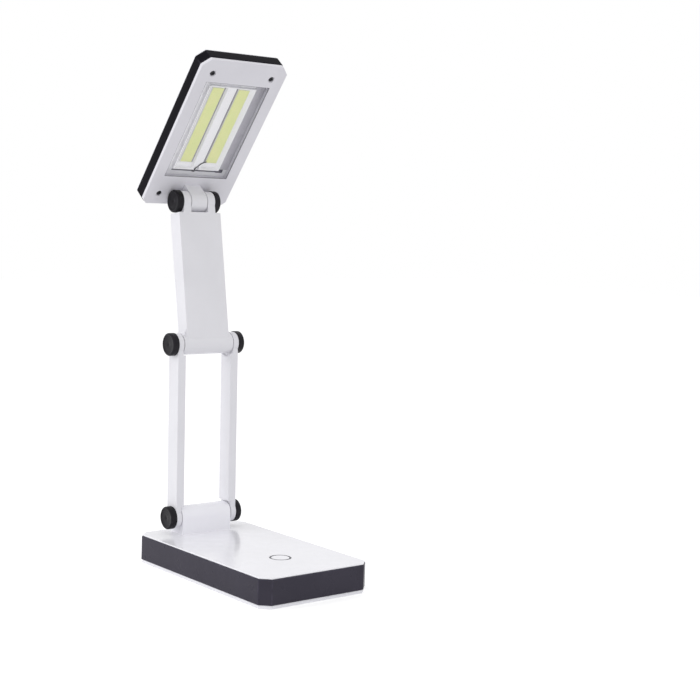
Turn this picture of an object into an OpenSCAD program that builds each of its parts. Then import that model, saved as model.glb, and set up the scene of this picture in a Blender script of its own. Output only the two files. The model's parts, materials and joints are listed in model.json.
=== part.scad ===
// Folding desk lamp: a flat base, a two-legged lower arm, an upper arm that folds in between the legs,
// and a flat lamp head that folds down over both. Millimetres, +Z up, -Y is the front.
// The origin is the middle of the base's footprint, in the plane that the feet stand on.

/* [Base] */
// Width of the base, left to right
base_w = 74; // [72:1:92]
// Length of the base, front to back
base_l = 130; // [120:1:156]
// Cut-off at each corner of the base
base_chamfer = 5.5; // [3:0.5:8]
// Height of the rim and feet that the base stands on
foot_proud = 0.8; // [0.5:0.1:1.5]
// Radius of a foot
foot_r = 4; // [3:0.1:4]
// Thickness of the bottom plate
bottom_t = 1.2; // [1.2:0.1:2]
// Height of the dark rim around the base
rim_h = 14.2; // [13:0.1:20]
// Wall of the dark rim
rim_wall = 2; // [1.5:0.1:3]
// Lip of the top cover that shows above the rim
top_lip = 0.8; // [0.5:0.1:1.5]
// Thickness of the top cover
top_t = 1.8; // [1.6:0.1:3]

/* [Power button] */
// Distance of the button from the front edge
button_inset = 36; // [30:1:40]
// Radius of the button
button_r = 5.3; // [4:0.1:8]
// Width of the grey ring around the button
ring_w = 0.7; // [0.5:0.05:2]
// How far the button goes down
button_travel = 0.6; // [0.3:0.1:1]

/* [Batteries] */
// Radius of a cell
cell_r = 5.25; // [5:0.05:5.4]
// Length of a cell's can
cell_l = 43.3; // [40:0.1:45]
// Number of cells, side by side
cell_count = 4; // [2:1:4]

/* [Hinges] */
// Radius of every hinge barrel
barrel_r = 6.4; // [5.5:0.1:7]
// Radius of the black hinge caps
cap_r = 6.8; // [6:0.1:7.2]
// Thickness of the black hinge caps
cap_t = 3.9; // [3.6:0.1:5]
// Radius of a hinge screw
screw_r = 1.5; // [1:0.1:1.8]
// Height of the hinge axis over the base's top
hinge_rise = 10; // [8.5:0.1:14]
// Distance of the base hinge's axis from the back edge
hinge_inset = 12.8; // [11:0.1:16]

/* [Lower arm] */
// Length between the lower arm's two axes
lower_len = 103.5; // [99:0.5:125]
// Width of the lower arm over both legs
lower_w = 42.4; // [42.4:0.1:52]
// Width of one leg
leg_w = 5.3; // [5.3:0.1:6]
// Leg's front face from the axis
leg_front = 5.4; // [4:0.1:5.6]
// Leg's back face from the axis
leg_back = 5.1; // [5:0.1:6.2]
// Lean of the lower arm, forwards positive
lower_lean = -1; // [-5:0.5:5]

/* [Upper arm] */
// Length between the upper arm's two axes
upper_len = 85.4; // [71:0.1:88]
// Width of the upper arm
upper_w = 29.3; // [26:0.1:29.5]
// Upper arm's back face from the axis
upper_back = 4.5; // [3.8:0.1:5]
// Wall of the upper arm
upper_wall = 1.6; // [1.2:0.1:2.4]
// Lean of the upper arm, forwards positive
upper_lean = -9.7; // [-20:0.1:0]

/* [Head] */
// Width of the head
head_w = 59.6; // [56:0.2:70]
// Head's length ahead of its hinge axis
head_front = 95.4; // [90:0.1:115]
// Head's length behind its hinge axis
head_rear = 9; // [8:0.1:10]
// Cut-off at the head's two far corners
head_chamfer = 5; // [3:0.5:7]
// Cut-off at the head's two corners by the hinge
head_near_chamfer = 3; // [2:0.5:5]
// Distance from the hinge axis to the lit face
face_gap = 8; // [7.8:0.1:10]
// Thickness of the face plate
face_t = 2.2; // [2:0.1:3]
// Height of the dark rim around the head
head_rim_h = 6.8; // [6.4:0.1:9]
// Thickness of the back cover
head_back_t = 2; // [1.6:0.1:3]
// Width of the window
window_w = 44; // [40:1:46]
// Length of the window
window_l = 68; // [62:1:70]
// Window's near end from the hinge axis
window_start = 12; // [11:0.5:14]
// Lean of the head, forwards positive
head_lean = 38.9; // [30:0.1:60]

/* [Light strips] */
// Width of a light strip's yellow coating
strip_w = 7.5; // [5:0.1:9]
// Length of a light strip's yellow coating
strip_l = 53.3; // [40:0.1:56]
// Middle of a light strip from the head's centre line
strip_offset = 8.9; // [8.5:0.1:10]
// Depth of the strips' face under the lit face
strip_depth = 3.9; // [3.5:0.1:4.5]

/* [Hidden] */

$fn = 64;
eps = 0.01;
// Clearance of parts that are fitted once
fit = 0.1;
// Clearance of parts that slide
slide_gap = 0.15;
// Radial clearance of a screw that turns in its bore
turn_gap = 0.06;

WHITE = "#f1f1f4";
SHELL = "#e4e4e8";
CHARCOAL = "#4a484f";
BLACK = "#222124";
STEEL = "#b9bcc2";
GREEN = "#2f6b45";
BRASS = "#c9a65a";

// Heights in the base
bottom_z = foot_proud;
rim_z = bottom_z + bottom_t;
rim_top = rim_z + rim_h;
base_top = rim_top + top_lip;
cover_under = base_top - top_t;
// The bottom plate and the top cover stand a little inside the rim
edge_inset = 0.5;
cover_edge = 0.4;
pedestal_wall = 2;

// Hinge axes
hinge_y = base_l / 2 - hinge_inset;
hinge_z = base_top + hinge_rise;
// Barrel, washer and ear of the two wide hinges, along X
washer_t = 0.4;
washer_gap = 0.05;
ear_out = lower_w / 2;
ear_t = 3.6;
ear_in = ear_out - ear_t;
wide_barrel = ear_in - washer_t - 2 * washer_gap;
leg_in = ear_out - leg_w;
// Room around a barrel or an ear where a neighbour is cut back
barrel_room = 0.5;
// The same around the upper arm's widened foot
gusset_room = 1.8;
// Barrel, washer and ear of the head's hinge, along X
lug_half = 5.45;
lug_drop = 5.3;
fork_in = lug_half + washer_t + 2 * washer_gap;
fork_out = 11.1;
fork_floor = barrel_r + 0.6;
shoulder_drop = cap_r + 0.4;

// Hinge hardware
bore_r = screw_r + turn_gap;
screw_head_r = 2.9;
screw_head_h = 1.9;
nut_r = 3.1;
nut_h = 2.4;
screw_end = 0.4;
washer_r = 5.2;
cap_skin = 1;
boss_h = 1.2;
boss_r = cap_r - 1.4;
boss_bore_r = 4;
cap_dish = 0.35;
cap_edge = 0.5;

// Base fasteners and feet
foot_sink = 0.4;
foot_x = base_w / 2 - 8.4;
foot_y = base_l / 2 - 19;
stand_w = 2.4;
small_screw_r = 1;
small_head_r = 2;
small_head_h = 1.3;
base_screw_x = base_w / 2 - 6.5;
base_screw_y = base_l / 2 - 8;
screw_pad_r = 3.6;
screw_pad_h = 1.6;
screw_well_z = bottom_z + small_head_h + 0.5;
boss_foot = rim_z + screw_pad_h + fit;
screw_reach = 8;

// Batteries, tray and door
cell_pitch = 2 * cell_r + 0.4;
nub_r = 1.9;
nub_h = 1;
tray_wall = 1.2;
tray_in_w = cell_count * cell_pitch + 0.6;
spring_room = 2.8;
plate_t = 0.4;
tray_in_l = cell_l + nub_h + spring_room + plate_t + fit;
cell_start = spring_room - tray_in_l / 2;
tray_back = hinge_y - barrel_r - 5.5;
tray_front = tray_back - tray_in_l;
cell_z = rim_z + 0.35 + cell_r;
tray_roof = cell_z + cell_r + 0.35;
door_half = tray_in_w / 2;
door_t = bottom_t - 0.1;
door_ledge = 0.4;
door_tongue = 1.2;
door_front = tray_front - 1;
door_back = base_l / 2 - edge_inset;
leaf_half = 3.5;

// Board, switch and socket
board_t = 1.6;
board_z = rim_z + 4;
board_top = board_z + board_t;
board_w = 2 * (base_w / 2 - rim_wall - 2);
board_front = -base_l / 2 + 12.5;
board_back = tray_front - tray_wall - 2.5;
standoff_r = 2.4;
board_hole_inset = 4;
button_y = -base_l / 2 + button_inset;
ring_r = button_r + slide_gap + ring_w;
flange_r = ring_r + 0.7;
flange_t = 1.1;
flange_top = cover_under - fit;
switch_half = 3;
switch_h = 3.4;
plunger_r = 1.7;
plunger_up = 1.1;
plunger_in = 0.9;
plunger_top = board_top + switch_h + plunger_up;
socket_w = 8.94;
socket_h = 3.2;
socket_l = 7.4;
socket_wall = 0.3;
socket_y = board_front + 20;
socket_z = board_top + socket_h / 2;
socket_mouth = base_w / 2 - 0.3;
tongue_w = 6.6;
tongue_t = 0.7;

// Upper arm inside
barrel_proud = 0.7;
upper_front = barrel_r - barrel_proud;
cover_t = 1.2;
cavity_low = barrel_r + 4;
cavity_high = upper_len - fork_floor - 3.5;
gusset_top = barrel_r + 2;
gusset_low = 3;
cover_screw_z = [cavity_low + 6, cavity_high - 6];
cover_boss_r = 2.4;

// Leg's wire channel
channel_w = 2.4;
channel_low = barrel_r + 3.5;
channel_high = lower_len - barrel_r - 3.5;
channel_floor = -leg_front + 1.4;
leg_cover_w = 3.4;
leg_cover_t = 1;
leg_mid = (leg_in + ear_out) / 2;

// Head layers, as distances behind the hinge axis
face_y = face_gap;
face_back = face_y + face_t;
head_rim_back = face_back + head_rim_h;
head_back = head_rim_back + head_back_t;
head_wall = 1.6;
head_inset = 0.3;
lip_h = 1;
lip_t = 1;
crown = 1.2;
head_screw_x = head_w / 2 - 9.5;
head_screw_near = -1;
head_screw_far = head_front - 9.6;
head_boss_r = 2.6;
head_well_r = 1.95;
head_well = 0.9;

// Lens, reflector and strips, as distances behind the hinge axis
lens_flange = 1.3;
lens_front_t = 1.2;
lens_back_t = 0.8;
window_mid = window_start + window_l / 2;
strip_y = face_y + strip_depth;
coating_t = 0.35;
substrate_t = 0.65;
substrate_margin = 0.6;
floor_y = strip_y + coating_t + substrate_t;
floor_t = 0.8;
skirt_t = 1;
skirt_w = window_w + 2 * lens_flange + 2 * fit;
skirt_l = window_l + 2 * lens_flange + 2 * fit;
post_r = 1.5;
post_x = skirt_w / 2 - 2;
post_run = skirt_l / 2 - 2;
trough_w = 2 * 16.2;
trough_l = 60.4;
flank_top = face_y + 3;
flank_run = 2.6;
end_run = 1.2;
ridge_top = face_y + 3.4;
ridge_half = 2.9;
ridge_run = 0.7;
trough_mid = window_mid - 0.2;
strip_mid = window_mid + 1.4;
lead_notch = 1.6;
driver_y = floor_y + floor_t + 0.2;
driver_t = 1;
wire_r = 0.7;
wire_step = 1.6;

// ---- shared shapes ----

// A rectangle with cut corners, by c0 at its low end and by c at the other
module cut_plate(w, y0, y1, c, c0) {
    h = w / 2;
    polygon([[-h + c0, y0], [h - c0, y0], [h, y0 + c0], [h, y1 - c],
             [h - c, y1], [-h + c, y1], [-h, y1 - c], [-h, y0 + c0]]);
}

// The base's outline, grown or shrunk by d, from z0 to z1
module base_slab(d, z0, z1) {
    cut = base_chamfer + 0.6 * d;
    translate([0, 0, z0]) linear_extrude(z1 - z0)
        cut_plate(base_w + 2 * d, -base_l / 2 - d, base_l / 2 + d, cut, cut);
}

// A layer of the head, grown or shrunk by d, between two distances behind the hinge axis
module head_slab(d, y0, y1) {
    translate([0, y1, 0]) rotate([90, 0, 0]) linear_extrude(y1 - y0)
        cut_plate(head_w + 2 * d, -head_rear - d, head_front + d, head_chamfer + 0.6 * d,
            head_near_chamfer + 0.6 * d);
}

// A cylinder along X between two places
module x_rod(r, x0, x1) {
    translate([x0, 0, 0]) rotate([0, 90, 0]) cylinder(r = r, h = x1 - x0);
}

// A cylinder along Y between two places
module y_rod(r, y0, y1) {
    translate([0, y0, 0]) rotate([-90, 0, 0]) cylinder(r = r, h = y1 - y0);
}

module box(x0, x1, y0, y1, z0, z1) {
    translate([x0, y0, z0]) cube([x1 - x0, y1 - y0, z1 - z0]);
}

module both_sides() {
    for (s = [0, 1]) mirror([s, 0, 0]) children();
}

module at_base_corners(x, y) {
    for (sx = [-1, 1], sy = [-1, 1]) translate([sx * x, sy * y, 0]) children();
}

// Frames of the moving pieces: origin on the near axis, +Z along the piece, -Y its front
module in_lower() {
    translate([0, hinge_y, hinge_z]) rotate([lower_lean, 0, 0]) children();
}
module in_upper() {
    in_lower() translate([0, 0, lower_len]) rotate([upper_lean - lower_lean, 0, 0]) children();
}
module in_head() {
    in_upper() translate([0, 0, upper_len]) rotate([head_lean - upper_lean, 0, 0]) children();
}

// A round tube swept along points; side is a direction that the path never runs along
function unit(v) = v / norm(v);
function heading(p, i) = unit(p[min(i + 1, len(p) - 1)] - p[max(i - 1, 0)]);
function ring_at(p, i, r, side, n) =
    let (t = heading(p, i), u = unit(cross(t, side)), v = cross(t, u))
    [for (k = [0:n - 1]) p[i] + r * (cos(360 * k / n) * u + sin(360 * k / n) * v)];
module swept_tube(p, r, side, n = 8) {
    m = len(p);
    points = [for (i = [0:m - 1]) each ring_at(p, i, r, side, n)];
    walls = [for (i = [0:m - 2], k = [0:n - 1], f = [0, 1]) let (a = i * n + k, b = i * n + (k + 1) % n)
        f == 0 ? [a, b, b + n] : [a, b + n, a + n]];
    polyhedron(points, concat([[for (k = [0:n - 1]) n - 1 - k]], walls,
        [[for (k = [0:n - 1]) (m - 1) * n + k]]), convexity = 4);
}

// ---- hinge hardware ----

// A black cap on an ear whose outer face is at x
module hinge_cap(x) {
    translate([x, 0, 0]) rotate([0, 90, 0]) rotate_extrude()
        polygon([[0, cap_t - cap_skin], [boss_r + fit, cap_t - cap_skin], [boss_r + fit, 0], [cap_r, 0],
                 [cap_r, cap_t - cap_edge], [cap_r - cap_edge, cap_t],
                 [boss_r, cap_t], [boss_r - cap_dish, cap_t - cap_dish], [0, cap_t - cap_dish]]);
}

// The round boss that a cap sits on, around the screw's head or nut
module cap_boss(x) {
    difference() {
        x_rod(boss_r, x - eps, x + boss_h);
        x_rod(boss_bore_r, x, x + boss_h + eps);
    }
}

module hinge_screw(reach) {
    color(STEEL) difference() {
        union() {
            x_rod(screw_r, -reach, reach + nut_h + screw_end);
            x_rod(screw_head_r, -reach - screw_head_h, -reach);
        }
        box(-reach - screw_head_h - eps, -reach - screw_head_h + 0.7, -0.4, 0.4, -screw_head_r, screw_head_r);
    }
}

module hinge_nut(reach) {
    color(STEEL) difference() {
        translate([reach, 0, 0]) rotate([0, 90, 0]) cylinder(r = nut_r, h = nut_h, $fn = 6);
        x_rod(screw_r + turn_gap, reach - eps, reach + nut_h + eps);
    }
}

module washer_pair(x) {
    color(BRASS) both_sides() difference() {
        x_rod(washer_r, x + washer_gap, x + washer_gap + washer_t);
        x_rod(bore_r + turn_gap, x, x + washer_t + 2 * washer_gap);
    }
}

// A small self-tapping screw with its head's underside at z = 0, pointing up
module small_screw(reach) {
    difference() {
        union() {
            translate([0, 0, -small_head_h]) cylinder(r = small_head_r, h = small_head_h);
            cylinder(r = small_screw_r - eps, h = reach);
        }
        for (a = [0, 90]) rotate(a)
            translate([-small_head_r * 0.6, -0.25, -small_head_h - eps]) cube([small_head_r * 1.2, 0.5, 0.6]);
    }
}

// ---- base ----

module base_bottom_plate() {
    color(WHITE) difference() {
        union() {
            difference() {
                base_slab(-edge_inset, 0, rim_z);
                base_slab(-edge_inset - stand_w, -eps, bottom_z);
            }
            at_base_corners(base_screw_x, base_screw_y) translate([0, 0, rim_z - eps])
                cylinder(r = screw_pad_r, h = screw_pad_h + eps);
            for (sx = [-1, 1], y = [board_front + board_hole_inset, board_back - board_hole_inset])
                translate([sx * (board_w / 2 - board_hole_inset), y, rim_z - eps])
                    cylinder(r = standoff_r, h = board_z - rim_z + eps);
        }
        // The sliding door's way, open at the back edge
        box(-door_half - slide_gap, door_half + slide_gap, door_front - slide_gap, base_l, -eps, base_top);
        box(-door_half - door_tongue - slide_gap, door_half + door_tongue + slide_gap,
            door_front - slide_gap, base_l, bottom_z + door_ledge, rim_z + eps);
        at_base_corners(foot_x, foot_y) translate([0, 0, bottom_z - eps])
            cylinder(r = foot_r + fit, h = foot_sink + eps);
        at_base_corners(base_screw_x, base_screw_y) {
            translate([0, 0, bottom_z - eps])
                cylinder(r = small_head_r + fit, h = screw_well_z - bottom_z + eps);
            cylinder(r = small_screw_r + fit, h = base_top / 2);
        }
        for (sx = [-1, 1], y = [board_front + board_hole_inset, board_back - board_hole_inset])
            translate([sx * (board_w / 2 - board_hole_inset), y, rim_z])
                cylinder(r = small_screw_r, h = base_top);
    }
}

module base_rim() {
    color(CHARCOAL) difference() {
        base_slab(0, rim_z, rim_top);
        base_slab(-rim_wall, rim_z - eps, rim_top + eps);
        // Opening for the charging socket, on the right
        translate([0, socket_y, socket_z]) x_slot(socket_w + 2 * fit, socket_h + 2 * fit, 0, base_w);
    }
}

// A slot with round ends, along X, w wide in Y and h high in Z
module x_slot(w, h, x0, x1) {
    box(x0, x1, -w / 2 + h / 2, w / 2 - h / 2, -h / 2, h / 2);
    for (s = [-1, 1]) translate([0, s * (w - h) / 2, 0]) x_rod(h / 2, x0, x1);
}

module base_top_cover() {
    color(WHITE) difference() {
        union() {
            base_slab(-rim_wall - fit, cover_under, rim_top + eps);
            base_slab(-cover_edge, rim_top, base_top);
            // Pedestal and barrel of the base hinge
            translate([0, hinge_y, hinge_z]) x_rod(barrel_r, -wide_barrel, wide_barrel);
            box(-wide_barrel, wide_barrel, hinge_y - barrel_r, hinge_y + barrel_r, base_top - eps, hinge_z);
            at_base_corners(base_screw_x, base_screw_y) translate([0, 0, boss_foot])
                cylinder(r = screw_pad_r - 0.6, h = cover_under - boss_foot + eps);
        }
        translate([0, hinge_y, hinge_z]) x_rod(bore_r, -base_w, base_w);
        // Hollow of the pedestal, where the wires come up
        box(-wide_barrel + pedestal_wall, wide_barrel - pedestal_wall, hinge_y - barrel_r + pedestal_wall,
            hinge_y + barrel_r - pedestal_wall, cover_under - eps, hinge_z - bore_r - pedestal_wall);
        translate([0, button_y, 0]) cylinder(r = ring_r + fit / 2, h = base_top + 1);
        at_base_corners(base_screw_x, base_screw_y) translate([0, 0, boss_foot - eps])
            cylinder(r = small_screw_r, h = screw_reach);
    }
}

module base_feet() {
    color(BLACK) at_base_corners(foot_x, foot_y) cylinder(r = foot_r, h = foot_proud + foot_sink);
}

module base_screws() {
    color(STEEL) at_base_corners(base_screw_x, base_screw_y) translate([0, 0, screw_well_z])
        small_screw(screw_reach);
}

module button_ring() {
    color("#8d8f96") translate([0, button_y, cover_under]) difference() {
        cylinder(r = ring_r, h = top_t);
        translate([0, 0, -eps]) cylinder(r = button_r + slide_gap, h = top_t + 2 * eps);
    }
}

module power_button() {
    color(WHITE) translate([0, button_y, 0]) {
        translate([0, 0, flange_top - eps]) cylinder(r = button_r, h = base_top - flange_top + eps);
        translate([0, 0, flange_top - flange_t]) cylinder(r = flange_r, h = flange_t);
        translate([0, 0, plunger_top]) cylinder(r = plunger_r, h = flange_top - plunger_top);
    }
}

module switch_plunger() {
    color(BLACK) translate([0, button_y, board_top + switch_h - plunger_in])
        cylinder(r = plunger_r, h = plunger_up + plunger_in);
}

module switch_body() {
    color(STEEL) translate([0, button_y, 0]) difference() {
        box(-switch_half, switch_half, -switch_half, switch_half, board_top, board_top + switch_h);
        translate([0, 0, board_top + switch_h - plunger_in - button_travel - fit])
            cylinder(r = plunger_r + fit, h = switch_h);
    }
}

module control_board() {
    color(GREEN) difference() {
        box(-board_w / 2, board_w / 2, board_front, board_back, board_z, board_top);
        for (sx = [-1, 1], y = [board_front + board_hole_inset, board_back - board_hole_inset])
            translate([sx * (board_w / 2 - board_hole_inset), y, 0])
                cylinder(r = small_screw_r + fit, h = base_top);
    }
}

module board_components() {
    // A controller, a charging chip, a coil, and a row of small resistors
    color(BLACK) {
        box(-20, -14, button_y + 6, button_y + 11, board_top, board_top + 1.5);
        box(10, 14, socket_y - 6, socket_y - 2, board_top, board_top + 1.2);
        translate([-17, button_y - 6, board_top]) cylinder(r = 3.5, h = 3);
        for (k = [0:5]) translate([-8 + 3 * k, button_y - 12, board_top]) cube([2, 1.2, 0.6]);
    }
}

module board_screws() {
    color(STEEL) for (sx = [-1, 1], y = [board_front + board_hole_inset, board_back - board_hole_inset])
        translate([sx * (board_w / 2 - board_hole_inset), y, board_top]) mirror([0, 0, 1])
            small_screw(board_z - rim_z);
}

module charge_socket() {
    color(STEEL) translate([0, socket_y, socket_z]) {
        difference() {
            x_slot(socket_w, socket_h, socket_mouth - socket_l, socket_mouth);
            x_slot(socket_w - 2 * socket_wall, socket_h - 2 * socket_wall,
                socket_mouth - socket_l + 1, socket_mouth + eps);
        }
        box(socket_mouth - socket_l + 1 - eps, socket_mouth - 1,
            -tongue_w / 2, tongue_w / 2, -tongue_t / 2, tongue_t / 2);
    }
}

module battery_tray() {
    color(BLACK) difference() {
        box(-tray_in_w / 2 - tray_wall, tray_in_w / 2 + tray_wall,
            tray_front - tray_wall, tray_back + tray_wall, rim_z, tray_roof + tray_wall);
        box(-tray_in_w / 2, tray_in_w / 2, tray_front, tray_back, rim_z - eps, tray_roof);
    }
}

// Does something at each cell; every second cell lies the other way round
module at_cells() {
    for (k = [0:cell_count - 1])
        translate([(k - (cell_count - 1) / 2) * cell_pitch, (tray_front + tray_back) / 2, cell_z])
            rotate(k % 2 == 0 ? 0 : 180) children();
}

module battery_cells() {
    color("#3f6fa8") at_cells() {
        y_rod(cell_r, cell_start, cell_start + cell_l);
        y_rod(nub_r, cell_start + cell_l - eps, cell_start + cell_l + nub_h);
    }
}

module battery_plates() {
    color(STEEL) at_cells()
        translate([0, tray_in_l / 2 - plate_t, 0])
            box(-leaf_half, leaf_half, 0, plate_t, -leaf_half, leaf_half);
}

module battery_springs() {
    // A bent leaf that presses on the flat end of each cell
    tip = spring_room - fit / 2;
    color(STEEL) at_cells() translate([-leaf_half, -tray_in_l / 2, 0]) rotate([90, 0, 90])
        linear_extrude(2 * leaf_half)
            polygon([[0, -leaf_half], [0, leaf_half], [plate_t, leaf_half], [plate_t, 0.6 - leaf_half],
                     [tip - plate_t, -0.2], [tip - plate_t, 0.2], [plate_t + 0.6, leaf_half - 1],
                     [2 * plate_t + 0.6, leaf_half - 1], [tip, 0.3], [tip, -0.3], [plate_t, -leaf_half]]);
}

module battery_door() {
    color(WHITE) difference() {
        union() {
            box(-door_half, door_half, door_front, door_back, bottom_z, bottom_z + door_t);
            box(-door_half - door_tongue, door_half + door_tongue, door_front, door_back,
                bottom_z + door_ledge + 0.05, bottom_z + door_t);
            // The standing rim goes on across the door
            box(-door_half, door_half, door_back - stand_w, door_back, 0, bottom_z + eps);
        }
        // Thumb grip
        for (k = [0:4]) translate([0, door_back - 8 - 1.6 * k, bottom_z]) x_rod(0.4, -7, 7);
    }
}

module base_wires() {
    // Two wires from the board, past the tray, and up into the pedestal
    side = -tray_in_w / 2 - tray_wall - 1.3;
    rise = side + 14.5;
    for (k = [0, 1]) let (x = side - wire_step * k, y = hinge_y - 2.5 + wire_step * k, z = board_top + wire_r)
        color(k == 0 ? "#c43a32" : BLACK) swept_tube([
            [x, board_back - 6, z],
            [x, y - 4, z],
            [x + 3, y, z],
            [rise - 4, y, z + 1],
            [rise - 1, y, z + 4],
            [rise, y, cover_under + 1],
            [rise, y, hinge_z - bore_r - pedestal_wall - fit]
        ], wire_r - 0.05, [0.3, 1, 0.2]);
}

// ---- lower arm ----

module leg(s) {
    // s is 1 for the right leg and -1 for the left one
    in_lower() mirror([s < 0 ? 1 : 0, 0, 0]) difference() {
        union() {
            difference() {
                box(leg_in, ear_out, -leg_front, leg_back, 0, lower_len);
                // Room for the base's pedestal, and for the upper arm's foot
                box(leg_in - eps, ear_in, -2 * barrel_r, 2 * barrel_r, -2 * barrel_r, barrel_r + barrel_room);
                translate([0, 0, lower_len]) x_rod(barrel_r + gusset_room, leg_in - eps, ear_in);
            }
            for (z = [0, lower_len]) translate([0, 0, z]) {
                x_rod(barrel_r, ear_in, ear_out);
                cap_boss(ear_out);
            }
        }
        for (z = [0, lower_len]) translate([0, 0, z]) x_rod(bore_r, leg_in - eps, ear_out + boss_h);
        box(leg_mid - channel_w / 2, leg_mid + channel_w / 2, channel_floor, leg_back + eps,
            channel_low, channel_high);
        box(leg_mid - leg_cover_w / 2, leg_mid + leg_cover_w / 2, leg_back - leg_cover_t, leg_back + eps,
            channel_low - 1.5, channel_high + 1.5);
    }
}

module left_leg() { color(SHELL) leg(-1); }
module right_leg() { color(SHELL) leg(1); }

module leg_covers() {
    color(WHITE) in_lower() both_sides()
        box(leg_mid - leg_cover_w / 2 + fit, leg_mid + leg_cover_w / 2 - fit,
            leg_back - leg_cover_t, leg_back, channel_low - 1.5 + fit, channel_high + 1.5 - fit);
}

module lower_arm_caps() {
    color(BLACK) in_lower() for (z = [0, lower_len]) translate([0, 0, z]) both_sides() hinge_cap(ear_out);
}

module lower_arm_wire() {
    color(BLACK) in_lower() translate([-leg_mid, (channel_floor + leg_back - leg_cover_t) / 2, channel_low])
        cylinder(r = wire_r, h = channel_high - channel_low);
}

module base_hinge_screw() { in_lower() hinge_screw(ear_out); }
module base_hinge_nut() { in_lower() hinge_nut(ear_out); }
module base_hinge_washers() { in_lower() washer_pair(wide_barrel); }
module mid_hinge_screw() { in_lower() translate([0, 0, lower_len]) hinge_screw(ear_out); }
module mid_hinge_nut() { in_lower() translate([0, 0, lower_len]) hinge_nut(ear_out); }
module mid_hinge_washers() { in_lower() translate([0, 0, lower_len]) washer_pair(wide_barrel); }

// ---- upper arm ----

module upper_arm_housing() {
    color(SHELL) in_upper() difference() {
        union() {
            x_rod(barrel_r, -wide_barrel, wide_barrel);
            box(-upper_w / 2, upper_w / 2, -upper_front, upper_back, 0, upper_len - shoulder_drop);
            // Gussets out to the ends of the barrel
            translate([0, upper_back, 0]) rotate([90, 0, 0]) linear_extrude(upper_back + upper_front - 1.4)
                polygon([[-wide_barrel, 0], [wide_barrel, 0], [wide_barrel, gusset_low],
                         [upper_w / 2, gusset_top], [-upper_w / 2, gusset_top], [-wide_barrel, gusset_low]]);
            // Fork for the head's lug
            box(-fork_out, fork_out, -upper_front, upper_back, upper_len - shoulder_drop - eps, upper_len);
            translate([0, 0, upper_len]) {
                x_rod(barrel_r, -fork_out, fork_out);
                both_sides() cap_boss(fork_out);
            }
        }
        x_rod(bore_r, -base_w, base_w);
        translate([0, 0, upper_len]) x_rod(bore_r, -base_w, base_w);
        box(-fork_in, fork_in, -2 * barrel_r, 2 * barrel_r, upper_len - fork_floor, upper_len + 2 * barrel_r);
        // Hollow, closed by the back cover
        difference() {
            box(-upper_w / 2 + upper_wall, upper_w / 2 - upper_wall, -upper_front + upper_wall,
                upper_back + eps, cavity_low, cavity_high);
            for (z = cover_screw_z) translate([0, 0, z])
                y_rod(cover_boss_r, -upper_front, upper_back - cover_t);
        }
        for (z = cover_screw_z) translate([0, 0, z]) y_rod(small_screw_r, -upper_front + 1.2, upper_back);
        box(-upper_w / 2 + upper_wall / 2, upper_w / 2 - upper_wall / 2, upper_back - cover_t,
            upper_back + eps, cavity_low - 1, cavity_high + 1);
    }
}

module upper_arm_cover() {
    color(WHITE) in_upper() difference() {
        box(-upper_w / 2 + upper_wall / 2 + fit, upper_w / 2 - upper_wall / 2 - fit, upper_back - cover_t,
            upper_back, cavity_low - 1 + fit, cavity_high + 1 - fit);
        for (z = cover_screw_z) translate([0, 0, z]) {
            y_rod(small_screw_r + fit, 0, 2 * upper_back);
            y_rod(small_head_r + fit, upper_back - cover_t / 2, 2 * upper_back);
        }
    }
}

module upper_arm_screws() {
    color(STEEL) in_upper() for (z = cover_screw_z)
        translate([0, upper_back - cover_t / 2, z]) rotate([90, 0, 0]) difference() {
            union() {
                translate([0, 0, -cover_t / 2]) cylinder(r = small_head_r, h = cover_t / 2);
                cylinder(r = small_screw_r - eps, h = 5);
            }
            for (a = [0, 90]) rotate(a)
                translate([-1.2, -0.25, -cover_t / 2 - eps]) cube([2.4, 0.5, 0.3]);
        }
}

module upper_arm_wire() {
    color(BLACK) in_upper() translate([-upper_w / 4, -1, cavity_low])
        cylinder(r = wire_r, h = cavity_high - cavity_low);
}

module head_hinge_caps() {
    color(BLACK) in_upper() translate([0, 0, upper_len]) both_sides() hinge_cap(fork_out);
}
module head_hinge_screw() { in_head() hinge_screw(fork_out); }
module head_hinge_nut() { in_head() hinge_nut(fork_out); }
module head_hinge_washers() { in_head() washer_pair(lug_half); }

// ---- head ----

module at_head_screws() {
    for (sx = [-1, 1], z = [head_screw_near, head_screw_far]) translate([sx * head_screw_x, 0, z]) children();
}

// A box centred on the window, w by l, between two distances behind the axis
module window_box(w, l, y0, y1, mid = window_mid) {
    box(-w / 2, w / 2, y0, y1, mid - l / 2, mid + l / 2);
}

module head_face_plate() {
    color(SHELL) in_head() difference() {
        union() {
            head_slab(-head_inset, face_y, face_back);
            // Lug of the hinge
            x_rod(barrel_r, -lug_half, lug_half);
            box(-lug_half, lug_half, 0, face_y + eps, -lug_drop, barrel_r);
            // Skirt around the lens, that the reflector lies on
            window_box(skirt_w + 2 * skirt_t, skirt_l + 2 * skirt_t, face_back - eps, floor_y);
        }
        x_rod(bore_r, -base_w, base_w);
        window_box(window_w, window_l, face_y - eps, face_back + eps);
        window_box(skirt_w, skirt_l, face_y + lens_front_t, floor_y + eps);
        at_head_screws() {
            y_rod(head_well_r, face_y - eps, face_y + head_well);
            y_rod(small_screw_r + fit, face_y, face_back + eps);
        }
    }
}

module head_rim() {
    color(CHARCOAL) in_head() difference() {
        head_slab(0, face_back, head_rim_back);
        head_slab(-head_wall, face_back - eps, head_rim_back + eps);
    }
}

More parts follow.
